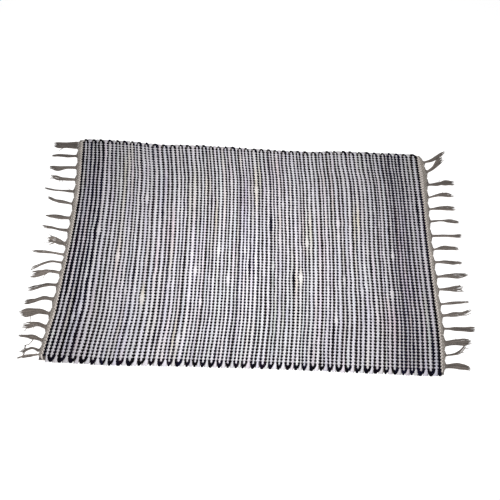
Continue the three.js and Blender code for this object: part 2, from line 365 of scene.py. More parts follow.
# Where light picks are tinted: middle, half spread along and across the rug, and strength.
PATCH_COLUMNS = "x y along across strength"
PATCHES = {
    "lavender": table(
        PATCH_COLUMNS,
        (-21, 146, 14, 60, 0.8),
        (-410, 150, 24, 130, 0.35),
        (-297, 124, 14, 70, 0.3),
        (-281, -250, 18, 60, 0.3),
        (375, -40, 26, 260, 0.45),
        (225, 120, 12, 60, 0.3),
        (-400, -200, 20, 80, 0.4),
    ),
    "cream": table(
        PATCH_COLUMNS,
        (-151, 162, 6, 70, 0.8),
        (11, 185, 9, 60, 0.8),
        (143, 48, 7, 60, 0.85),
        (265, 92, 10, 50, 0.8),
        (-86, 81, 6, 60, 0.7),
        (-246, -135, 6, 30, 0.8),
        (-324, 227, 8, 60, 0.6),
        (-315, -20, 6, 60, 0.5),
        (120, -70, 5, 30, 0.8),
        (-165, -235, 7, 50, 0.7),
    ),
    "mint": table(
        PATCH_COLUMNS,
        (70, -200, 60, 80, 0.35),
        (-60, -120, 30, 60, 0.25),
    ),
    "pink": table(
        PATCH_COLUMNS,
        (-200, 40, 14, 60, 0.4),
        (330, -180, 12, 70, 0.45),
        (60, 230, 12, 50, 0.4),
        (180, -10, 10, 60, 0.4),
    ),
    "blue": table(
        PATCH_COLUMNS,
        (150, 220, 40, 60, 0.2),
        (-20, -30, 12, 80, 0.3),
    ),
}

# ---------------------------------------------------------------- the fringe

# From the far side to the near one: where a tassel leaves the heading, its length, how far
# aside its middle line lies at one and two thirds of it and at its tip, how wide it is at
# its root, at 0.4 and 0.7 of its length and near its tip, how frayed it is and how light.
TASSEL_COLUMNS = "y length first second tip root middle third end fray shade"
LEFT_TASSELS = table(
    TASSEL_COLUMNS,
    (281, 62, 0, -1, -1, 20, 16.5, 17, 15, 0.2, 0.85),
    (247, 64, 0, 1, -1, 6, 9, 7.5, 4.5, 0.05, 0.9),
    (211, 69, 0, -4, -1, 7, 8, 13, 8, 0.1, 1),
    (175, 67, 1, 2, 8, 7.5, 8, 11, 8, 0.9, 1.05),
    (140, 75, 1, 2, 7, 7, 4.5, 3, 2, 0.3, 0.9),
    (104, 64, 5, 8, 17, 5, 8, 6.5, 4, 0.2, 0.9),
    (63, 62, 1.5, 4, 5, 7.5, 9.5, 9, 4, 0.4, 0.95),
    (29, 65, 2, 7, 9, 7.5, 5.5, 7, 8, 0.6, 1),
    (-8, 46, 5, 9, 10, 9, 15, 17, 18, 1, 1.25),
    (-37, 74, 4, 5.5, 6.5, 5, 4, 6, 6, 0.3, 1.15),
    (-58, 72, 2, -6, -20, 5, 5.5, 7, 10, 0.6, 1),
    (-84, 68, 3, -3, -8, 7, 10, 18, 18, 0.5, 1.1),
    (-116, 68, 0, -6, -13, 7, 9, 9.5, 11, 0.4, 0.9),
    (-152, 66, 2.5, -5, -10, 7, 9, 9.5, 10, 0.3, 0.9),
    (-187, 70, 4.5, 1, 0, 8, 13, 20, 15, 0.4, 1),
    (-219, 56, 5, 2, -1, 8, 10, 13, 8, 0.8, 1),
    (-251, 56, 6, 7.5, 8, 7, 11, 7, 4, 0.8, 1),
    (-275, 42, 5, 2, -6, 6, 4.5, 6, 5, 0.9, 0.95),
    (-285, 47, -2.5, -5, -9, 5, 8, 8, 3, 0.5, 1.15),
)
RIGHT_TASSELS = table(
    TASSEL_COLUMNS,
    (278, 60, 8, 21, 36, 5, 10, 14, 7, 0.3, 0.95),
    (249, 48, 12, 30, 43, 8, 12, 17, 14, 0.6, 0.9),
    (208, 71, 4, 9, 9, 5, 10, 14, 13, 0.5, 0.85),
    (169, 67, 8, 11, 8, 4, 8, 12, 5, 0.6, 0.9),
    (134, 69, 4.5, 6.5, 5.5, 5, 11, 13.5, 12, 0.4, 0.95),
    (98, 73, 4, 4, 2, 5, 2.5, 9, 9, 0.3, 0.9),
    (57, 76, 2, 2.5, 4, 6, 6.5, 8, 12, 0.2, 0.95),
    (19, 64, 6, 6.5, 6, 4.5, 11, 9.5, 9, 0.2, 1),
    (-16, 67, 2, 1, 2, 5, 9, 9, 6.5, 0.2, 0.95),
    (-55, 77, 4, 5, 9, 5, 9, 11, 6, 0.6, 0.95),
    (-88, 64, 2, 3, 6, 5, 9, 13, 16, 0.9, 1),
    (-126, 69, 4, 6.5, 9, 4.5, 7, 5, 2, 0.2, 1),
    (-155, 71, 4, 7, 13, 6, 11, 7, 10, 0.9, 0.95),
    (-187, 73, 1, 1, 2, 4.5, 9, 10, 12, 0.05, 0.9),
    (-223, 62, 4, 5, 7, 12, 13, 16, 12, 0.4, 0.9),
    (-251, 50, 3, 9, 25, 3.5, 4, 7, 7, 0.5, 0.9),
    (-277, 56, 2, 1, -2, 9, 13, 12, 12, 0.3, 0.9),
)
LINE_AT = np.array([0, 1 / 3, 2 / 3, 1])  # shares of a tassel's length for the columns above
WIDE_AT = np.array([0.1, 0.4, 0.7, 0.95])

# Single strands that stand out of the tassels: from and to, and half their thickness.
LOOSE = table(
    "x y to_x to_y thick",
    (-500, 273, -507, 263, 0.9),
    (-456, 143, -475, 158, 0.45),
    (-490, 174, -492, 168, 0.6),
    (-482, 175, -486, 169, 0.5),
    (-512, 180, -518, 176, 0.5),
    (-474, 63, -476, 57, 0.6),
    (-480, 11, -498, 22, 0.5),
    (-484, 2, -501, 9, 0.45),
    (-484, -4, -502, -6, 0.7),
    (-516, -31, -528, -27, 0.5),
    (-478, -88, -490, -101, 0.8),
    (-497, -192, -495, -210, 0.6),
    (-498, -222, -505, -234, 0.8),
    (-482, -216, -486, -231, 0.6),
    (-457, -225, -468, -222, 0.4),
    (-479, -246, -496, -267, 1.1),
    (-494, -265, -496, -281, 1.3),
    (-495, -278, -496, -293, 1.4),
    (-494, -278, -506, -282, 0.6),
    (494, 288, 512, 289, 0.6),
    (484, 219, 486, 229, 0.7),
    (490, 182, 491, 190, 0.6),
    (511, -12, 512, -21, 0.9),
    (502, -118, 521, -116, 0.4),
    (493, -79, 506, -73, 1.1),
    (479, -214, 480, -207, 0.7),
    (484, -243, 495, -241, 0.8),
    (495, -231, 507, -231, 0.8),
)

# A strand of a tassel: its sides, its rings past the lead out, half its height, the least and
# most half its width, and the share of its part of the tassel that it fills.
STRAND = {"sides": 5, "body_rings": 16, "high": 1.1, "thin": 1.05, "fat": 1.9, "fills": 0.72}
FULLER = 1.24  # how much wider a tassel lies than its bare row says
TASSEL_NOISE = {"width": (0.07, 6), "strand": (0.1, 7)}  # strength, and knots along it
TWIST = {"turns": 0.45, "none_at": 11}  # of the narrowest tassel; a wide one has none
# How far apart a tassel's two layers lie: deep, less for its width, within least and most;
# and how far they lean aside and roll up where it is twisted.
LAYERS = {"deep": 2.3, "less": 0.1, "least": 0.9, "most": 1.9, "lean": 1.4, "roll": 0.5}
LEAST_ROOM = 0.3  # across a tassel between its outer strands' middles
STRAY = {"aside": (1.9, 5), "sway": (0.3, 9), "lift": (0.5, 4)}
REACH = {"most": 1.04, "less": 0.03, "frayed": 0.15}  # of a strand, as a share of the length
SLOPE_DOWN = 1.6  # how much higher a strand starts than it lies, and how much a loose one does
TIP = {"start": 0.85, "length": 0.15, "thinner": 0.65}
STRAND_SHADE = {"each": 0.14, "noise": (0.12, 7), "least": 0.5, "most": 1.7}

# A warp end's way out to its tassel: it starts inside the heading, then at each point how
# far past the heading it is, its share of the way to its place in the tassel, its height.
LEAD_START = {"share": 0.82, "height": 3.9}
LEAD = table("out gap height", (0.2, 0.22, 3.4), (1, 0.6, 3), (2.4, 0.88, 2.8))
LEAD_OUT = 4.5  # where the strands of a tassel have come together, past the heading

FIBRE = {"radius": 0.17, "each": 2, "rings": 4, "length": 9, "flat": 1.3, "thinner": 0.6}
FIBRE_LENGTH = {"least": 0.4, "smooth": 0.35, "frayed": 0.8}
FIBRE_BEND = {"spread": 0.5, "level": 0.25, "power": 1.6}
FIBRE_SHADE = (0.8, 1.3)
LOOSE_STRAND = {"sway": 0.07, "thinner": 0.35}


# ---------------------------------------------------------------- curves and unevenness


def curve(keys, values, place):
    """A smooth curve through values at keys: cubic pieces whose slope at a key is that of the
    line between its two neighbours, held level past the first and the last."""
    last = len(keys) - 1
    before = np.maximum(np.arange(last + 1) - 1, 0)
    after = np.minimum(np.arange(last + 1) + 1, last)
    more = (1,) * (values.ndim - 1)
    slope = (values[after] - values[before]) / (keys[after] - keys[before]).reshape(-1, *more)
    place = np.clip(place, keys[0], keys[-1])
    row = np.clip(np.searchsorted(keys, place) - 1, 0, last - 1)
    step = keys[row + 1] - keys[row]
    t = ((place - keys[row]) / step).reshape(*np.shape(place), *more)
    step = step.reshape(*np.shape(place), *more)
    rise = (values[row + 1] - values[row]) * t * t * (3 - 2 * t)
    lean = step * t * (1 - t) * ((1 - t) * slope[row] - t * slope[row + 1])
    return values[row] + rise + lean


def along(rows, key, column, place):
    """A smooth curve through one column of a table."""
    return curve(rows[key], rows[column], place)


def bow(share, station):
    """How far picks at each share of the rug's length lie from their place at its middle, at
    stations across it: a curve through each column of the table, and one from column to
    column. The result is (shares, stations)."""
    columns = [along(BOW, "y", f"at_{at}", station) for at in BOWED]
    return curve(np.array(BOWED, float), np.stack(columns), np.asarray(share, float))


def uneven(n):
    """The cloth's own fixed unevenness, from -1 to 1: the fraction of a large sine, doubled."""
    wave = np.sin(n * 12.9898) * 43758.5453
    return 2 * (wave - np.floor(wave)) - 1


def wander(lines, places, knots):
    """Smooth noise along each of several lines: normal random numbers at even knots, eased
    from one to the next. The result is (lines, places)."""
    heights = rng.standard_normal((lines, knots + 1))
    at = np.clip(places, 0, 1) * knots
    knot = np.minimum(at.astype(int), knots - 1)
    t = at - knot
    t = t * t * (3 - 2 * t)
    return heights[:, knot] * (1 - t) + heights[:, knot + 1] * t


def noise_along(lines, places, layers, start=0):
    """start and layers of smooth noise added up along each line: (strength, knots) of each."""
    for strength, knots in layers:
        start = start + strength * wander(len(lines), places, knots)
    return start


def eased(values, reach):
    """The mean of each row with `reach` rows either side of it; the end rows stand in for
    those past them, so the ends stay where they are."""
    before = np.repeat(values[:1], reach, axis=0)
    after = np.repeat(values[-1:], reach, axis=0)
    padded = np.concatenate([before, values, after])
    total = np.cumsum(np.concatenate([np.zeros((1, values.shape[1])), padded]), axis=0)
    width = 2 * reach + 1
    return (total[width:] - total[:-width]) / width


def hump(distance, half):
    """A bell, 1 in its middle: exp(-(distance / half)^2)."""
    return np.exp(-((distance / half) ** 2))


def cloth_y(x, across):
    """y on the cloth: from the near edge's curve to the far one's, for across from -1 to 1."""
    near = along(SIDES, "x", "near", x)
    far = along(SIDES, "x", "far", x)
    return near + (far - near) * (across + 1) / 2


# ---------------------------------------------------------------- meshes from rings

MAP_START = 9  # metres along its map within which a yarn starts, so that no two look alike


def rings_round(centre, side, half_width, half_height, sides):
    """Ellipses round paths, (yarns, rings, sides, 3): centre + side * half_width * cos(a)
    + up * half_height * sin(a), where a starts so that the top is an edge, not a corner."""
    a = (np.arange(sides) + 0.5) * 2 * math.pi / sides + math.pi / 2
    across = side[:, :, None, :] * (half_width[:, :, None] * np.cos(a))[..., None]
    up = (half_height[:, :, None] * np.sin(a))[..., None] * np.array([0, 0, 1.0])
    return centre[:, :, None, :] + across + up


def tube_faces(yarns, rings, sides):
    """Quads between neighbouring rings and a fan over each end, with the side of each quad's
    corners on the ring grid, running one past the last to close a texture."""
    yarn, ring, s = np.meshgrid(
        np.arange(yarns), np.arange(rings - 1), np.arange(sides), indexing="ij"
    )
    first = yarn * rings * sides
    nxt = (s + 1) % sides
    quads = np.stack(
        [
            first + ring * sides + s,
            first + (ring + 1) * sides + s,
            first + (ring + 1) * sides + nxt,
            first + ring * sides + nxt,
        ],
        axis=-1,
    ).reshape(-1, 4)
    turn = np.stack([s, s, s + 1, s + 1], axis=-1).reshape(-1, 4)
    start = np.arange(yarns)[:, None, None] * rings * sides
    k = np.arange(1, sides - 1)[None, :, None]
    fan = np.concatenate([np.zeros_like(k), k + 1, k], axis=-1)
    far = (rings - 1) * sides
    caps = np.concatenate([start + fan, start + far + fan[:, :, ::-1]], axis=1).reshape(-1, 3)
    return quads, turn, caps


def yarn_mesh(name, rings, tint, material):
    """One mesh of many closed tubes. rings is (yarns, rings, sides, 3) in millimetres and tint
    (yarns, rings, 3). Its map runs along each yarn and round it, in metres."""
    yarns, count, sides, _ = rings.shape
    points = rings.reshape(-1, 3) * MM
    quads, turn, caps = tube_faces(yarns, count, sides)
    mesh = bpy.data.meshes.new(name)
    mesh.vertices.add(len(points))
    mesh.vertices.foreach_set("co", points.ravel())
    corners = np.concatenate([quads.ravel(), caps.ravel()])
    mesh.loops.add(len(corners))
    mesh.loops.foreach_set("vertex_index", corners)
    starts = np.concatenate(
        [np.arange(len(quads)) * 4, quads.size + np.arange(len(caps)) * 3]
    )
    mesh.polygons.add(len(starts))
    mesh.polygons.foreach_set("loop_start", starts)
    mesh.update(calc_edges=True)
    mesh.polygons.foreach_set("use_smooth", np.ones(len(starts), bool))

    middle = rings.mean(axis=2)
    steps = np.linalg.norm(np.diff(middle, axis=1), axis=2)
    run = np.concatenate([np.zeros((yarns, 1)), np.cumsum(steps, axis=1)], axis=1) * MM
    run = run + rng.uniform(0, MAP_START, (yarns, 1))
    run = np.repeat(run.ravel(), sides)
    girth = 2 * math.pi * np.linalg.norm(rings[:, :, 0] - middle, axis=2).mean() * MM
    around = np.concatenate([turn.ravel() / sides, np.zeros(caps.size)]) * girth
    uv = mesh.uv_layers.new(name="yarn")
    uv.data.foreach_set("uv", np.stack([run[corners], around], axis=1).ravel())

    colours = np.ones((yarns, count, sides, 4))
    colours[..., :3] = tint[:, :, None, :]
    attribute = mesh.color_attributes.new("tint", "FLOAT_COLOR", "POINT")
    attribute.data.foreach_set("color", colours.ravel())
    mesh.validate()
    mesh.materials.append(material)
    thing = stand(name, mesh)
    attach(thing, "root")
    return thing


# ---------------------------------------------------------------- materials

# The noise of each kind of grain: how often it repeats in a metre along a yarn and round
# it, and its detail.
GRAIN = {"mottle": (160, 500, 3), "fold": (220, 1500, 2), "fibre": (1600, 9000, 1)}
MATT = 0.95
SOFT_SHEEN = 0.6
MOTTLE_FROM = (0.3, 0.7)  # the range of noise that runs from the darkest tint to the full one


def cotton(name, fold, fibre, mottle, sheen, gloss):
    """Matt cotton yarn: its own tint, mottled along the yarn, with long folds and fine fibres
    raised from noise that is drawn out along it. fold and fibre are heights in metres."""
    material = bpy.data.materials.new(name)
    material.use_nodes = True
    nodes, links = material.node_tree.nodes, material.node_tree.links
    shader = nodes["Principled BSDF"]
    settle(shader, {"Roughness": MATT, "Specular IOR Level": gloss})
    settle(shader, {"Sheen Weight": sheen, "Sheen Roughness": SOFT_SHEEN})

    tint = nodes.new("ShaderNodeAttribute")
    tint.attribute_name = "tint"
    along_yarn = nodes.new("ShaderNodeUVMap")
    along_yarn.uv_map = "yarn"

    def noise(kind):
        along_it, round_it, detail = GRAIN[kind]
        stretch = nodes.new("ShaderNodeMapping")
        settle(stretch, {"Scale": (along_it, round_it, 1)})
        links.new(along_yarn.outputs["UV"], stretch.inputs["Vector"])
        texture = nodes.new("ShaderNodeTexNoise")
        settle(texture, {"Scale": 1, "Detail": detail})
        links.new(stretch.outputs["Vector"], texture.inputs["Vector"])
        return texture.outputs["Fac"]

    patchy = nodes.new("ShaderNodeMapRange")
    settle(patchy, {"From Min": MOTTLE_FROM[0], "From Max": MOTTLE_FROM[1]})
    settle(patchy, {"To Min": 1 - mottle, "To Max": 1})
    links.new(noise("mottle"), patchy.inputs["Value"])
    colour = nodes.new("ShaderNodeVectorMath")
    colour.operation = "SCALE"
    links.new(tint.outputs["Color"], colour.inputs[0])
    links.new(patchy.outputs["Result"], colour.inputs["Scale"])
    links.new(colour.outputs["Vector"], shader.inputs["Base Color"])

    folds = nodes.new("ShaderNodeBump")
    settle(folds, {"Distance": fold})
    links.new(noise("fold"), folds.inputs["Height"])
    fibres = nodes.new("ShaderNodeBump")
    settle(fibres, {"Distance": fibre})
    links.new(noise("fibre"), fibres.inputs["Height"])
    links.new(folds.outputs["Normal"], fibres.inputs["Normal"])
    links.new(fibres.outputs["Normal"], shader.inputs["Normal"])
    return material


# ---------------------------------------------------------------- the woven field


def warp_places():
    """Where each warp end lies across the cloth, -1 at the near edge and 1 at the far one."""
    return WOVEN[0] + (WOVEN[1] - WOVEN[0]) * (np.arange(WARPS) + 0.5) / WARPS


def ring_places():
    """Two rings for each warp end but the last, either side of it: the warp's number, and
    the place across the cloth."""
    warp = np.repeat(np.arange(WARPS - 1), 2)
    offset = np.tile([-PLATEAU, PLATEAU], WARPS - 1) * (WOVEN[1] - WOVEN[0]) / WARPS
    return warp, warp_places()[warp] + offset


def lay_picks(across):
    """x of each pick's middle, its width and how it swells, (PICKS, rings): the widths are
    added up at every ring, so that a yarn that swells pushes its neighbours aside."""
    pick = np.arange(PICKS)
    dark = pick % 2 == 0
    share = pick / PICKS
    width = np.where(dark, DARK["width"], LIGHT["width"])
    width = width * (1 + np.where(dark, DARK["uneven"], LIGHT["uneven"]) * uneven(pick))
    width = width * along(BEAT, "along", "pitch", share)
    thick = along(BEAT, "along", "dark", share)
    filling = (DARK["width"] * (1 - thick) + LIGHT["width"]) / LIGHT["width"]
    width = (width * np.where(dark, thick, filling))[:, None]
    ends = np.cumsum(width, axis=0)
    scale = (FIELD[1] - FIELD[0]) / ends[-1]
    middle = (ends - width / 2)[:, 0] / ends[-1]
    place = (across + 1) / 2
    swell = noise_along(pick, place, SWELL_NOISE)
    station = across * HALF_WIDTH
    for rows, of in ((THICK_STRETCHES, dark), (LUMPS, ~dark)):
        for x, y, half, more in zip(*rows.values()):
            here = FIELD[0] + (FIELD[1] - FIELD[0]) * middle + bow(middle, [y])[:, 0]
            chosen = np.flatnonzero(of)[np.argmin(np.abs(here[of] - x))]
            swell[chosen] += more * hump(station - y, half)
    pushed = np.cumsum(width * swell, axis=0) - width * swell / 2
    pushed = pushed - eased(pushed, PUSH_REACH)
    x = FIELD[0] + (ends - width / 2 + pushed) * scale + bow(middle, station)
    full = np.where(dark, along(BEAT, "along", "full", share), 0)[:, None]
    return x, width * (1 + swell) * scale, swell + full


def partners(count, first):
    """Which yarn each of `count` yarns turns back into, pairing from `first`; a yarn with no
    partner is its own."""
    k = np.arange(count)
    other = np.where((k - first) % 2 == 0, k + 1, k - 1)
    return np.where((other < 0) | (other >= count), k, other)


def turns(edge, x, y):
    """Every pick's turn at one long edge, from x and y of its last ring: rings' centres,
    half widths and half heights. A dark turn's tip lies between its two picks, and a light
    bulge between two of those tips."""
    outward, first = (-1, 1) if edge == "near" else (1, 0)
    dark, light = x[0::2], x[1::2]
    pair = partners(len(dark), first)
    lean = TURN_LEAN[edge] + rng.normal(0, TURN_NOISE["lean"], len(dark))
    left = np.minimum(np.arange(len(dark)), pair)
    gap = np.abs(dark[pair] - dark)
    tip = dark[left] + lean[left] * gap
    bulge = (tip[:-1] + tip[1:]) / 2
    inside = pair[:-1] == np.arange(len(light)) + 1
    under = np.minimum(np.arange(len(light)) + 1, len(light) - 1)

    target, scale, kind = np.zeros(PICKS), np.ones(PICKS), np.full(PICKS, "outside")
    target[0::2], target[1::2] = tip, np.where(inside, bulge[under], bulge)
    stretch = np.clip(gap / TURN_SPAN["dark"], *TURN_STRETCH["dark"])
    scale[0::2] = np.where(gap > 0, stretch, 1)
    stretch = np.clip(np.diff(tip) / TURN_SPAN["light"], *TURN_STRETCH["light"])
    scale[1::2] = np.where(inside, 1, stretch)
    hand = np.where(left == np.arange(len(dark)), "left", "right")
    kind[0::2] = np.where(gap == 0, "lone", hand)
    kind[1::2] = np.where(inside, "inside", "outside")
    reach = along(SIDES, "x", edge, x) * outward + TURN_OUT
    reach = reach + rng.normal(0, TURN_NOISE["reach"], PICKS)
    reach[2 * pair] = reach[0::2]
    if edge == "near":
        reach[0] -= CORNER_SHORT

    shape = np.zeros((PICKS, TURN_RINGS, len(TURN_COLUMNS.split())))
    for (side, name), rows in TURNS.items():
        if side == edge:
            shape[kind == name] = np.stack(list(rows.values()), axis=1)
    out, toward, wide, up, tall = np.moveaxis(shape, 2, 0)
    cx = x[:, None] + toward * (target - x)[:, None]
    cy = y[:, None] + out * (outward * reach - y)[:, None]
    soft = 1 + np.clip(TURN_NOISE["size"] * rng.standard_normal((PICKS, 1)), *TURN_SIZE)
    return np.stack([cx, cy, up], axis=-1), wide * scale[:, None] * soft, tall * soft


def weft_rings(yarn, x, y, width, swell, over):
    """Rings of one colour's picks: x and y from the layout, height MIDDLE + rise over the
    warp and MIDDLE - fall under it. Where a pick swells, its dips fill: they rise and widen
    towards its beads. Each bead's two rings share its own small unevenness."""

    def bead(spread):
        noise = rng.standard_normal((len(x), x.shape[1] // 2))
        return np.repeat(1 + spread * noise, 2, axis=1)

    filled = np.clip(FILLED["slope"] * swell - FILLED["start"], 0, 1)
    raised = np.where(over > 0, 1, FILLED["most"] * filled)
    travel = yarn["rise"] + yarn["fall"]
    z = MIDDLE - yarn["fall"] + travel * raised * bead(BEAD_NOISE["height"])
    spread = yarn["dip"] + (yarn["bead"] - yarn["dip"]) * raised
    half_width = width / 2 * spread * bead(BEAD_NOISE["width"])
    half_height = yarn["thick"] * bead(BEAD_NOISE["thick"]) * (1 + SWELL_TALL * swell)
    return np.stack([x, y, z], axis=-1), half_width, half_height


def with_edges(near, inner, far):
    """Whole tubes from their parts: the near turn from its tip inwards, the woven length and
    the far turn. Each part is centres, half widths and half heights."""
    centre, wide, tall = (
        np.concatenate([a[:, ::-1], b, c], axis=1) for a, b, c in zip(near, inner, far)
    )
    side = np.broadcast_to([1.0, 0, 0], centre.shape)
    return rings_round(centre, side, wide, tall, WEFT_SIDES)


def with_turns(values):
    """Values per ring, with each yarn's end values held through its turns."""
    near = np.repeat(values[:, :1], TURN_RINGS, axis=1)
    far = np.repeat(values[:, -1:], TURN_RINGS, axis=1)
    return np.concatenate([near, values, far], axis=1)


def light_tints(x, y, place, swell):
    """The light rag's colour, (picks, rings, 3): white, drawn towards each shade where its
    patches lie and where slow noise along the yarn says, and cleaner where it swells."""
    colour = np.broadcast_to(WHITE, x.shape + (3,)).copy()
    for shade, target in SHADES.items():
        amount = np.clip(noise_along(x, place, TINT_NOISE), 0, 1)
        for px, py, half_x, half_y, strength in zip(*PATCHES[shade].values()):
            spread = hump(x - px, half_x), hump(y - py, half_y)
            amount = amount + PATCH_SHARE * strength * spread[0] * spread[1]
        amount = np.clip(amount, 0, 1)[..., None]
        colour = colour * (1 - amount) + np.array(target) * amount
    clean = np.clip(CLEAN["slope"] * swell - CLEAN["start"], 0, CLEAN["most"])[..., None]
    colour = colour * (1 - clean) + np.array(COTTON) * clean
    shade = noise_along(x, place, LIGHT_NOISE, 1)
    return np.clip(colour * shade[..., None], 0, BRIGHTEST)


def dark_tints(x, place):
    """The dark rag's colour: black, with navy or plum in it here and there."""
    navy = NAVY_MIX["mean"] + NAVY_MIX["noise"] * wander(len(x), place, NAVY_MIX["knots"])
    navy = navy + NAVY_MIX["more"] * hump(x - NAVY_MIX["x"], NAVY_MIX["half"])
    navy = np.clip(navy, 0, 1)[..., None]
    plum = PLUM_MIX["noise"] * wander(len(x), place, PLUM_MIX["knots"])
    plum = np.clip(plum, 0, PLUM_MIX["most"])[..., None]
    colour = np.array(BLACK) * (1 - navy) + np.array(NAVY) * navy
    colour = colour * (1 - plum) + np.array(PLUM) * plum
    noise = DARK_NOISE["strength"] * wander(len(x), place, DARK_NOISE["knots"])
    return colour * (1 + noise)[..., None]


def halves(count):
    """Two runs of yarns, so that no mesh grows too large."""
    return (slice(0, count // 2), slice(count // 2, count))


warp_number, ring_across = ring_places()
pick_x, pick_width, pick_swell = lay_picks(ring_across)
pick_y = cloth_y(pick_x, ring_across)
pick_over = np.where((np.arange(PICKS)[:, None] + warp_number[None, :]) % 2 == 0, 1.0, -1.0)
near_turns = turns("near", pick_x[:, 0], pick_y[:, 0])
far_turns = turns("far", pick_x[:, -1], pick_y[:, -1])
ring_place = (ring_across + 1) / 2

rag_dark = cotton("dark_rag", fold=0.0005, fibre=0.00012, mottle=0.35, sheen=0, gloss=0.05)
rag_light = cotton("light_rag", fold=0.0006, fibre=0.00012, mottle=0.12, sheen=0.1, gloss=0.2)
warp_cotton = cotton("warp_cotton", fold=0.0003, fibre=0.00015, mottle=0.3, sheen=0.2, gloss=0.2)

pieces = []
for yarn, start, name, material in (
    (DARK, 0, "dark_weft", rag_dark),
    (LIGHT, 1, "light_weft", rag_light),
):
    every = slice(start, None, 2)
    x, y = pick_x[every], pick_y[every]
    inner = weft_rings(yarn, x, y, pick_width[every], pick_swell[every], pick_over[every])
    near, far = ([part[every] for part in turn] for turn in (near_turns, far_turns))
    rings = with_edges(near, inner, far)
    if yarn is DARK:
        tint = dark_tints(x, ring_place)
    else:
        tint = light_tints(x, y, ring_place, pick_swell[every])
    tint = with_turns(tint)
    for part, run in enumerate(halves(len(x)), 1):
        piece = yarn_mesh(f"{name}_{part}", rings[run], tint[run], material)
        pieces.append(piece)


# ---------------------------------------------------------------- the headings


def heading_x(side, share, station):
    """x inside a heading: share 0 at its inner edge, beside the field, and 1 at its outer."""
    at = 0 if side < 0 else 1
    flat = np.ravel(station).astype(float)
    inner = (FIELD[at] + bow([at], flat)[0]).reshape(np.shape(station))
    outer = along(ENDS, "y", "left" if side < 0 else "right", station)
    return inner + (outer - inner) * share


# A heading's picks, from the field outwards: how far out the middle of each lies and half
# its width, as shares of the heading's width, its height and half its thickness.
HEADING_PICKS = table(
    "share half up tall",
    (0.12, 0.15, 4.4, 2.1),
    (0.36, 0.15, 4.1, 2),
    (0.58, 0.12, 3.9, 1.9),
    (0.76, 0.12, 3.6, 1.8),
    (0.92, 0.1, 3, 1.6),
)
BEIGE_PICKS = 2
# How far a heading's bead rises and dips, and how much wider it is over the warp and thicker.
HEADING_BEAD = {"rise": 1.1, "wide": 0.34, "tall": (0.92, 0.08)}
HEADING_NOISE = {"rise": (0.15, 70), "wide": (0.08, 60), "beige": (0.08, 24), "fine": (0.12, 40)}
FINE_SHADE = 1.05
# Past its last warp end a pick closes the cloth's corner: how far out, as a share of the
# way to the edge, how far it bends inwards and how thick it is still.
CORNER = table("out bend size", (0.4, 0.8, 1), (0.75, 3.5, 0.95), (1, 9.5, 0.8))
CORNER_ROUND = 0.55  # how much less of that way a pick goes, for its share squared
CORNER_INSIDE = 1.5  # how far inside the long edge that way ends
CORNER_BEND = 0.5  # share of the bend that a pick beside the field still has
CORNER_DROP = 0.2  # share of its height that a pick loses on the way to the edge


def heading_picks(side):
    """The picks of one heading, over and under the warp by turns: two thick beige ones
    beside the field, and taupe ones outside them. (rings, tints) of each kind."""
    station = ring_across * HALF_WIDTH
    picks = len(HEADING_PICKS["share"])
    width = np.abs(heading_x(side, 0, station) - heading_x(side, 1, station))[None, :]
    over = (-1.0) ** (np.arange(picks)[:, None] + warp_number[None, :] + 1)
    column = {name: values[:, None] for name, values in HEADING_PICKS.items()}
    x = np.stack([heading_x(side, share, station) for share in HEADING_PICKS["share"]])
    y = cloth_y(x, ring_across)
    noise = {}
    for part in ("rise", "wide"):
        strength, knots = HEADING_NOISE[part]
        noise[part] = strength * wander(picks, ring_place, knots)
    z = column["up"] + HEADING_BEAD["rise"] * over + noise["rise"]
    wide = width * column["half"] * (1 + HEADING_BEAD["wide"] * over + noise["wide"])
    tall = column["tall"] * (HEADING_BEAD["tall"][0] + HEADING_BEAD["tall"][1] * over)
    parts = []
    for outward, ring in ((-1, 0), (1, -1)):
        edge = along(SIDES, "x", "near" if outward < 0 else "far", x[:, ring])[:, None]
        way = CORNER["out"] * (1 - CORNER_ROUND * column["share"] ** 2)
        out = y[:, ring, None] + way * (edge - outward * CORNER_INSIDE - y[:, ring, None])
        bent = x[:, ring, None] - side * CORNER["bend"] * (CORNER_BEND + column["share"])
        level = column["up"] * (1 - CORNER_DROP * CORNER["out"])
        centre = np.stack([bent, out, level], axis=-1)
        size = CORNER["size"] * np.ones((picks, 1))
        parts.append((centre, wide[:, ring, None] * size, tall[:, ring, None] * size))
    near, far = parts
    rings = with_edges(near, (np.stack([x, y, z], axis=-1), wide, tall), far)
    place = np.linspace(0, 1, rings.shape[1])
    strength, knots = HEADING_NOISE["beige"]
    beige = np.array(BEIGE) * (1 + strength * wander(BEIGE_PICKS, place, knots))[..., None]
    strength, knots = HEADING_NOISE["fine"]
    fine = FINE_SHADE + strength * wander(picks - BEIGE_PICKS, place, knots)
    fine = np.array(RIDGE) * fine[..., None]
    return (rings[:BEIGE_PICKS], beige), (rings[BEIGE_PICKS:], fine)


# ---------------------------------------------------------------- warp and fringe


# Where a warp end crosses a heading's picks, from the field outwards: how far out, which way
# it weaves and its height.
WARP_OUT = table("share over height", (0.12, -1, 4.2), (0.5, -0.4, 3.6), (0.92, 0.4, 3.2))
WARP_SHADE = (1.25, 0.1)  # mean and noise


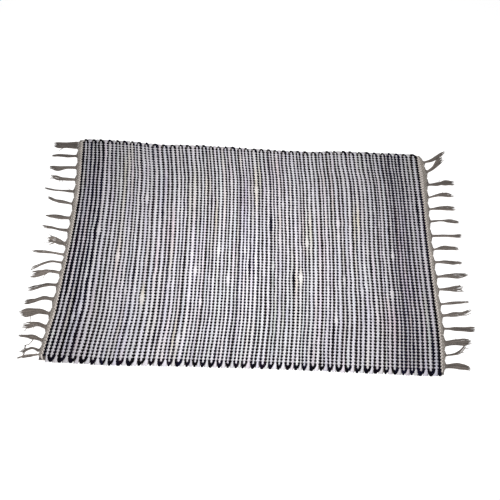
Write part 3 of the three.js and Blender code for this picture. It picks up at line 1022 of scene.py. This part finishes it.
def warp_rings():
    """The warp: each end runs along the rug, up over a pick where the weft is under it and
    down where it is over, at MIDDLE - over * lift, and on through both headings."""
    rings = np.minimum(np.arange(WARPS) * 2, len(ring_across) - 2)
    x = (pick_x[:, rings] + pick_x[:, rings + 1]).T / 2
    over = pick_over[:, rings].T
    over[-1] = -over[-1]
    across = warp_places()
    station = across * HALF_WIDTH
    shares = WARP_OUT["share"]
    left = np.stack([heading_x(-1, share, station) for share in shares[::-1]], axis=1)
    right = np.stack([heading_x(1, share, station) for share in shares], axis=1)
    flip = np.where(np.arange(WARPS) % 2 == 0, 1, -1)[:, None]
    edge_over = flip * WARP_OUT["over"][None, ::-1]
    x = np.concatenate([left, x, right], axis=1)
    over = np.concatenate([edge_over, over, edge_over[:, ::-1]], axis=1)
    y = cloth_y(x, across[:, None])
    lift = np.full(x.shape[1], WARP["lift"])
    height = np.full(x.shape[1], MIDDLE)
    height[:3] = WARP_OUT["height"][::-1]
    height[-3:] = WARP_OUT["height"]
    z = height - over * lift
    centre = np.stack([x, y, z], axis=-1)
    side = np.broadcast_to([0, -1.0, 0], centre.shape)
    ones = np.ones_like(x)
    return rings_round(centre, side, ones * WARP["width"], ones * WARP["thick"], THIN_SIDES)


warp_ends = warp_rings()
warp_tint = WARP_SHADE[0] + WARP_SHADE[1] * rng.standard_normal((WARPS, 1, 1))
warp_tint = np.array(TAUPE) * warp_tint
warp_tint = np.broadcast_to(warp_tint, warp_ends.shape[:2] + (3,))
warp = yarn_mesh("warp", warp_ends, warp_tint, warp_cotton)
pieces.append(warp)


def fringe_paths(side, tassels):
    """The path of each strand of one end's fringe and its half width and height. A warp end
    leaves the heading, runs along its edge to the nearest tassel's root and out with it. The
    strands of a tassel lie side by side round its middle line, in two layers, spread over
    its width; a narrow tassel is twisted a little, and a frayed one strays at its tip."""
    across = warp_places()
    station = across * HALF_WIDTH
    roots = tassels["y"]
    group = np.argmin(np.abs(station[:, None] - roots[None, :]), axis=1)
    members = np.bincount(group, minlength=len(roots))[group][:, None]
    order = np.array([np.sum(group[:j] == group[j]) for j in range(WARPS)])[:, None]
    take = {name: column[group][:, None] for name, column in tassels.items()}

    s = np.linspace(0, 1, STRAND["body_rings"])
    line = np.stack([0 * roots, tassels["first"], tassels["second"], tassels["tip"]])
    line = curve(LINE_AT, line, s).T[group]
    wide = np.stack([tassels[name] for name in ("root", "middle", "third", "end")])
    strength, knots = TASSEL_NOISE["width"]
    wide = curve(WIDE_AT, wide, s).T * FULLER * (1 + strength * wander(len(roots), s, knots))
    twist = TWIST["turns"] * np.clip(1 - wide.mean(axis=1) / TWIST["none_at"], 0, 1)
    wide, twist = wide[group], twist[group][:, None]
    half = np.clip(STRAND["fills"] * wide / members, STRAND["thin"], STRAND["fat"])
    strength, knots = TASSEL_NOISE["strand"]
    half = half * (1 + strength * wander(WARPS, s, knots))

    column = (order + 0.5) / members - 0.5
    layer = order % 2 - 0.5
    room = np.maximum(wide - 2 * half, LEAST_ROOM)
    deep = LAYERS["deep"] - LAYERS["less"] * wide
    deep = np.clip(deep, LAYERS["least"], LAYERS["most"])
    angle = 2 * math.pi * twist * s * np.where(group % 2 == 0, 1, -1)[:, None]
    aside = column * room * np.cos(angle) - layer * deep * np.sin(angle) * LAYERS["lean"]
    stray = take["fray"] * s**2
    strength, knots = STRAY["aside"]
    aside = aside + strength * stray * wander(WARPS, s, knots)
    strength, knots = STRAY["sway"]
    aside = aside + strength * s * wander(WARPS, s, knots)
    rolled = np.abs(column * room * np.sin(angle)) * LAYERS["roll"]
    lift = (layer + 0.5) * deep * np.cos(angle) + rolled
    strength, knots = STRAY["lift"]
    lift = np.maximum(lift, 0) + strength * stray * np.abs(wander(WARPS, s, knots))

    short = REACH["less"] + REACH["frayed"] * take["fray"]
    reach = REACH["most"] - short * rng.random((WARPS, 1))
    root_x = heading_x(side, 1, take["y"])
    x = root_x + side * (LEAD_OUT + (take["length"] - LEAD_OUT) * s * reach)
    y = cloth_y(root_x, take["y"] / HALF_WIDTH) + line + aside
    z = STRAND["high"] + lift + SLOPE_DOWN * (1 - s) ** 4

    start_x = heading_x(side, LEAD_START["share"], station)
    edge_x = heading_x(side, 1, station)
    start_y = cloth_y(edge_x, across)
    gap = y[:, 0] - start_y
    way = [(start_x, start_y, LEAD_START["height"] + 0 * station)]
    for out, share, height in zip(*LEAD.values()):
        way.append((edge_x + side * out, start_y + share * gap, height + 0 * station))
    lead = np.stack([np.stack(point, axis=-1) for point in way], axis=1)
    path = np.concatenate([lead, np.stack([x, y, z], axis=-1)], axis=1)
    half = np.concatenate([np.full((WARPS, lead.shape[1]), 1.0), half], axis=1)
    thinner = TIP["thinner"] * np.clip(s - TIP["start"], 0, 1) / TIP["length"]
    end = np.concatenate([np.ones(lead.shape[1]), 1 - thinner])
    return path, half * end, STRAND["high"] * end * (1 + 0 * half), take


def path_side(path):
    """The level direction across a path at each of its points: up x forward, made one long."""
    forward = np.gradient(path, axis=1)
    across = np.stack([forward[..., 1], -forward[..., 0], np.zeros(forward.shape[:2])], axis=-1)
    return across / np.maximum(np.linalg.norm(across, axis=-1, keepdims=True), 1e-9)


def fringe(side, tassels):
    """A fringe's strands, each a soft flat tube that thins at its tip, and the loose strands
    and fibres that fray out of them."""
    path, half, high, take = fringe_paths(side, tassels)
    rings = path.shape[1]
    strands = rings_round(path, path_side(path), half, high, STRAND["sides"])
    shade = take["shade"] * (1 + STRAND_SHADE["each"] * rng.standard_normal((WARPS, 1)))
    strength, knots = STRAND_SHADE["noise"]
    shade = shade * (1 + strength * wander(WARPS, np.linspace(0, 1, rings), knots))
    shade = np.clip(shade, STRAND_SHADE["least"], STRAND_SHADE["most"])
    tint = np.array(TAUPE) * shade[..., None]

    each = FIBRE["each"]
    rows = np.repeat(np.arange(WARPS), each)
    first = rings - rng.integers(1, STRAND["body_rings"] // 2, len(rows))
    base = path[rows, first]
    outward = path[rows, np.minimum(first + 1, rings - 1)] - path[rows, first - 1]
    outward /= np.linalg.norm(outward, axis=1, keepdims=True)
    length = FIBRE["length"] * rng.uniform(FIBRE_LENGTH["least"], 1, len(rows))
    fray = FIBRE_LENGTH["frayed"] * take["fray"][rows, 0]
    length = length * (FIBRE_LENGTH["smooth"] + fray)
    t = np.linspace(0, 1, FIBRE["rings"])
    bend = rng.normal(0, FIBRE_BEND["spread"], (len(rows), 1, 3))
    bend = bend * [1, 1, FIBRE_BEND["level"]] * t[:, None] ** FIBRE_BEND["power"]
    hair = base[:, None] + length[:, None, None] * (outward[:, None] * t[:, None] + bend)
    thin = FIBRE["radius"] * (1 - FIBRE["thinner"] * t) * np.ones((len(rows), 1))
    hair[..., 2] = np.maximum(hair[..., 2], FIBRE["radius"])

    here = np.sign(LOOSE["x"]) == side
    start, stop = (
        np.stack([LOOSE[x][here], LOOSE[y][here], 0 * LOOSE[x][here]], axis=1)
        for x, y in (("x", "y"), ("to_x", "to_y"))
    )
    count = len(start)
    loose = start[:, None] + (stop - start)[:, None] * t[:, None]
    sway = wander(count, t, 3) * np.linalg.norm(stop - start, axis=1)[:, None]
    loose = loose + LOOSE_STRAND["sway"] * sway[..., None] * [1, -1, 0]
    size = LOOSE["thick"][here][:, None] * (1 - LOOSE_STRAND["thinner"] * t)
    loose[..., 2] = size + SLOPE_DOWN * (1 - t)
    hair = np.concatenate([hair, loose])
    thin = np.concatenate([thin, size])
    hairs = rings_round(hair, path_side(hair), thin * FIBRE["flat"], thin, THIN_SIDES)
    hair_tint = np.array(TAUPE) * rng.uniform(*FIBRE_SHADE, (len(hair), 1, 1))
    hair_tint = hair_tint * np.ones((1, len(t), 1))
    return (strands, tint), (hairs, hair_tint)


for side, tassels, end in ((-1, LEFT_TASSELS, "left"), (1, RIGHT_TASSELS, "right")):
    beige, fine = heading_picks(side)
    strands, hairs = fringe(side, tassels)
    for part, (rings, tint), material in (
        ("heading_pick", beige, rag_light),
        ("heading_band", fine, warp_cotton),
        ("fringe_strands", strands, warp_cotton),
        ("fringe_fibres", hairs, warp_cotton),
    ):
        piece = yarn_mesh(f"{end}_{part}", rings, tint, material)
        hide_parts(f"{end}_heading_fringe")
        pieces.append(piece)


# ---------------------------------------------------------------- the ground of the cloth, darkened as painted shade


GROUND = {"columns": 90, "rows": 60, "inset": 3.0, "half": 0.6, "low": 0.3, "share": 0.8}
DROOP = {"down": 1.6, "from": 0.985, "length": 0.015}  # of its two ends, inside the headings
# The sheet's colour is the taupe times this: painted shade in the gaps between the yarns.
GROUND_PAINTED_SHADE = 0.5


def shaded_ground():
    """The packed fibre between the yarns, darkened to half the taupe as painted shade in the
    gaps: a thin closed sheet just under the cloth's middle height, over the field and most of
    both headings: x = left + (right - left) * share, y from near to far, and its ends droop."""
    columns, rows, half = GROUND["columns"], GROUND["rows"], GROUND["half"]
    share = np.linspace(0, 1, columns + 1)[:, None]
    across = np.linspace(-1, 1, rows + 1)[None, :] * (1 - GROUND["inset"] / HALF_WIDTH)
    station = across * HALF_WIDTH
    left = heading_x(-1, GROUND["share"], station)
    right = heading_x(1, GROUND["share"], station)
    x = left + (right - left) * share
    y = cloth_y(x, across)
    past = np.clip(np.abs(share - 0.5) * 2 - DROOP["from"], 0, 1)
    droop = DROOP["down"] * past / DROOP["length"]
    z = MIDDLE - GROUND["low"] - droop + 0 * x
    top = np.stack([x, y, z + half], axis=-1).reshape(-1, 3)
    low = np.stack([x, y, z - half], axis=-1).reshape(-1, 3)
    points = np.concatenate([top, low]) * MM
    index = np.arange((columns + 1) * (rows + 1)).reshape(columns + 1, rows + 1)
    upper = np.stack(
        [index[:-1, :-1], index[1:, :-1], index[1:, 1:], index[:-1, 1:]], axis=-1
    ).reshape(-1, 4)
    lower = upper[:, ::-1] + len(top)
    rim = np.concatenate([index[:-1, 0], index[-1, :-1], index[:0:-1, -1], index[0, :0:-1]])
    nxt = np.roll(rim, -1)
    wall = np.stack([rim, rim + len(top), nxt + len(top), nxt], axis=-1)
    mesh = bpy.data.meshes.new("shaded_ground")
    mesh.from_pydata(points.tolist(), [], np.concatenate([upper, lower, wall]).tolist())
    mesh.polygons.foreach_set("use_smooth", np.zeros(len(mesh.polygons), bool))
    attribute = mesh.color_attributes.new("tint", "FLOAT_COLOR", "POINT")
    colour = np.ones((len(points), 4))
    # Painted shade: the sheet is the warp's taupe at half, dark as the shade between the yarns.
    colour[:, :3] = np.array(TAUPE) * GROUND_PAINTED_SHADE
    attribute.data.foreach_set("color", colour.ravel())
    uv = mesh.uv_layers.new(name="yarn")
    corner = np.zeros(len(mesh.loops), int)
    mesh.loops.foreach_get("vertex_index", corner)
    uv.data.foreach_set("uv", points[corner][:, :2].ravel())
    mesh.materials.append(warp_cotton)
    thing = stand("shaded_ground", mesh)
    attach(thing, "root")
    return thing


cloth = shaded_ground()
for piece in [cloth, *pieces[:5]]:
    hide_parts("woven_field")


# ---------------------------------------------------------------- floor, light and camera


FLOOR = {"reach": 6.0, "pale": 0.9, "rough": 0.9, "glow": 0.75}
SKY_LIGHT = 0.22
KEY_LIGHT = {"place": (0, -0.11, 0.6), "size": 0.36, "power": 4.9}
CAMERA = {
    "place": (-0.0253, -0.7052, 1.3879),
    "turned": (63.106, 1.995, 4.209),  # degrees: pitch, yaw and roll
    "sensor": 36,
    "lens": 45.99,
}
PLAIN_WHITE = (1, 1, 1, 1)


def floor():
    """A pale level floor under the rug, which glows a little, so that it stays plain."""
    mesh = bpy.data.meshes.new("floor")
    reach, pale = FLOOR["reach"], FLOOR["pale"]
    corners = [(-reach, -reach, 0), (reach, -reach, 0), (reach, reach, 0), (-reach, reach, 0)]
    mesh.from_pydata(corners, [], [(0, 1, 2, 3)])
    material = bpy.data.materials.new("pale_floor")
    material.use_nodes = True
    shader = material.node_tree.nodes["Principled BSDF"]
    settle(shader, {"Base Color": (pale, pale, pale, 1), "Roughness": FLOOR["rough"]})
    settle(shader, {"Emission Color": PLAIN_WHITE, "Emission Strength": FLOOR["glow"]})
    mesh.materials.append(material)
    stand("floor", mesh)


def soft_light(name, place, size, power):
    """A square soft light that points straight down."""
    light = bpy.data.lights.new(name, "AREA")
    light.size = size
    light.energy = power
    thing = stand(name, light)
    thing.location = place
    thing.visible_camera = False


def camera():
    """The view from above the near side, turned by pitch, yaw and roll."""
    pitch, yaw, roll = (math.radians(a) for a in CAMERA["turned"])
    forward = np.array(
        [math.sin(yaw) * math.cos(pitch), math.cos(yaw) * math.cos(pitch), -math.sin(pitch)]
    )
    level = np.array([math.cos(yaw), -math.sin(yaw), 0])
    up = np.cross(level, forward)
    across = math.cos(roll) * level + math.sin(roll) * up
    upward = np.cross(across, forward)
    data = bpy.data.cameras.new("camera")
    data.sensor_width = CAMERA["sensor"]
    data.lens = CAMERA["lens"]
    thing = stand("camera", data)
    matrix = np.eye(4)
    matrix[:3] = np.stack([across, upward, -forward, CAMERA["place"]], axis=1)
    thing.matrix_world = matrix.T.tolist()
    bpy.context.scene.camera = thing


floor()
soft_light("key", **KEY_LIGHT)
camera()

world = bpy.data.worlds.new("studio")
world.use_nodes = True
settle(world.node_tree.nodes["Background"], {"Color": PLAIN_WHITE, "Strength": SKY_LIGHT})
bpy.context.scene.world = world
bpy.context.scene.view_settings.view_transform = "Standard"
bpy.context.scene.cycles.denoising_prefilter = "FAST"  # keeps the weave's small dots sharp
